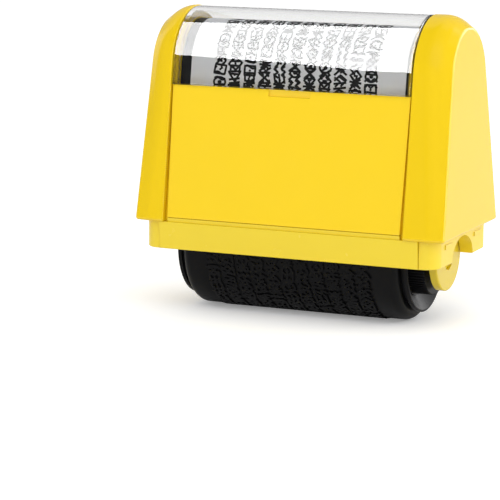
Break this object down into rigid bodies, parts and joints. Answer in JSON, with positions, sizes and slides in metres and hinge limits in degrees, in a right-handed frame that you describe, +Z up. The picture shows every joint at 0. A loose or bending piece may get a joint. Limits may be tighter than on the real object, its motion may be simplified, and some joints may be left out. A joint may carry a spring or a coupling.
{
  "type": "privacy roller stamp",
  "caption": "Hand-held self-inking roller stamp that covers printed text with a masking pattern, with a yellow housing, a clear label window and a removable roller cradle.",
  "frame": {"origin": "under the middle of the base, on the paper that the roller touches, which is the bottom centre of the object's box", "axes": "+X along the roller to the right, -Y towards the front panel, +Z up from the paper"},
  "size_m": [0.0674, 0.0338, 0.0626],
  "materials": {
    "yellow_plastic": "moulded opaque yellow plastic, satin gloss",
    "black_plastic": "moulded black plastic, semi-gloss",
    "black_rubber": "black porous printing rubber, satin",
    "clear_plastic": "clear moulded plastic, polished",
    "printed_card": "white coated card with a black printed pattern",
    "inked_foam": "foam soaked in black ink"
  },
  "bodies": {
    "housing": {"upper_housing": "yellow_plastic", "front_panel": "yellow_plastic", "rear_panel": "yellow_plastic", "front_skirt": "yellow_plastic", "rear_skirt": "yellow_plastic", "left_side_frame": "yellow_plastic", "right_side_frame": "yellow_plastic", "label_carrier": "black_plastic", "label_card": "printed_card"},
    "window": {"clear_window": "clear_plastic"},
    "cartridge": {"roller_cradle": "yellow_plastic", "left_axle_plug": "yellow_plastic", "right_axle_plug": "yellow_plastic"},
    "drum": {"drum_core": "black_plastic", "ink_foam": "inked_foam", "rubber_sleeve": "black_rubber", "left_flange": "black_plastic", "right_flange": "black_plastic", "left_seal": "black_rubber", "right_seal": "black_rubber", "left_filler_plug": "black_plastic", "right_filler_plug": "black_plastic", "right_thumb_wheel": "black_plastic"}
  },
  "joints": [
    {"name": "drum_spin", "type": "hinge", "parent": "cartridge", "child": "drum", "pos_m": [-0.001, 0, 0.0134], "axis": [1, 0, 0], "continuous": true},
    {"name": "cartridge_release", "type": "slide", "parent": "housing", "child": "cartridge", "axis": [0, 0, -1], "range_m": [0, 0.018]},
    {"name": "window_lift", "type": "slide", "parent": "housing", "child": "window", "axis": [0, 0, 1], "range_m": [0, 0.02]}
  ]
}
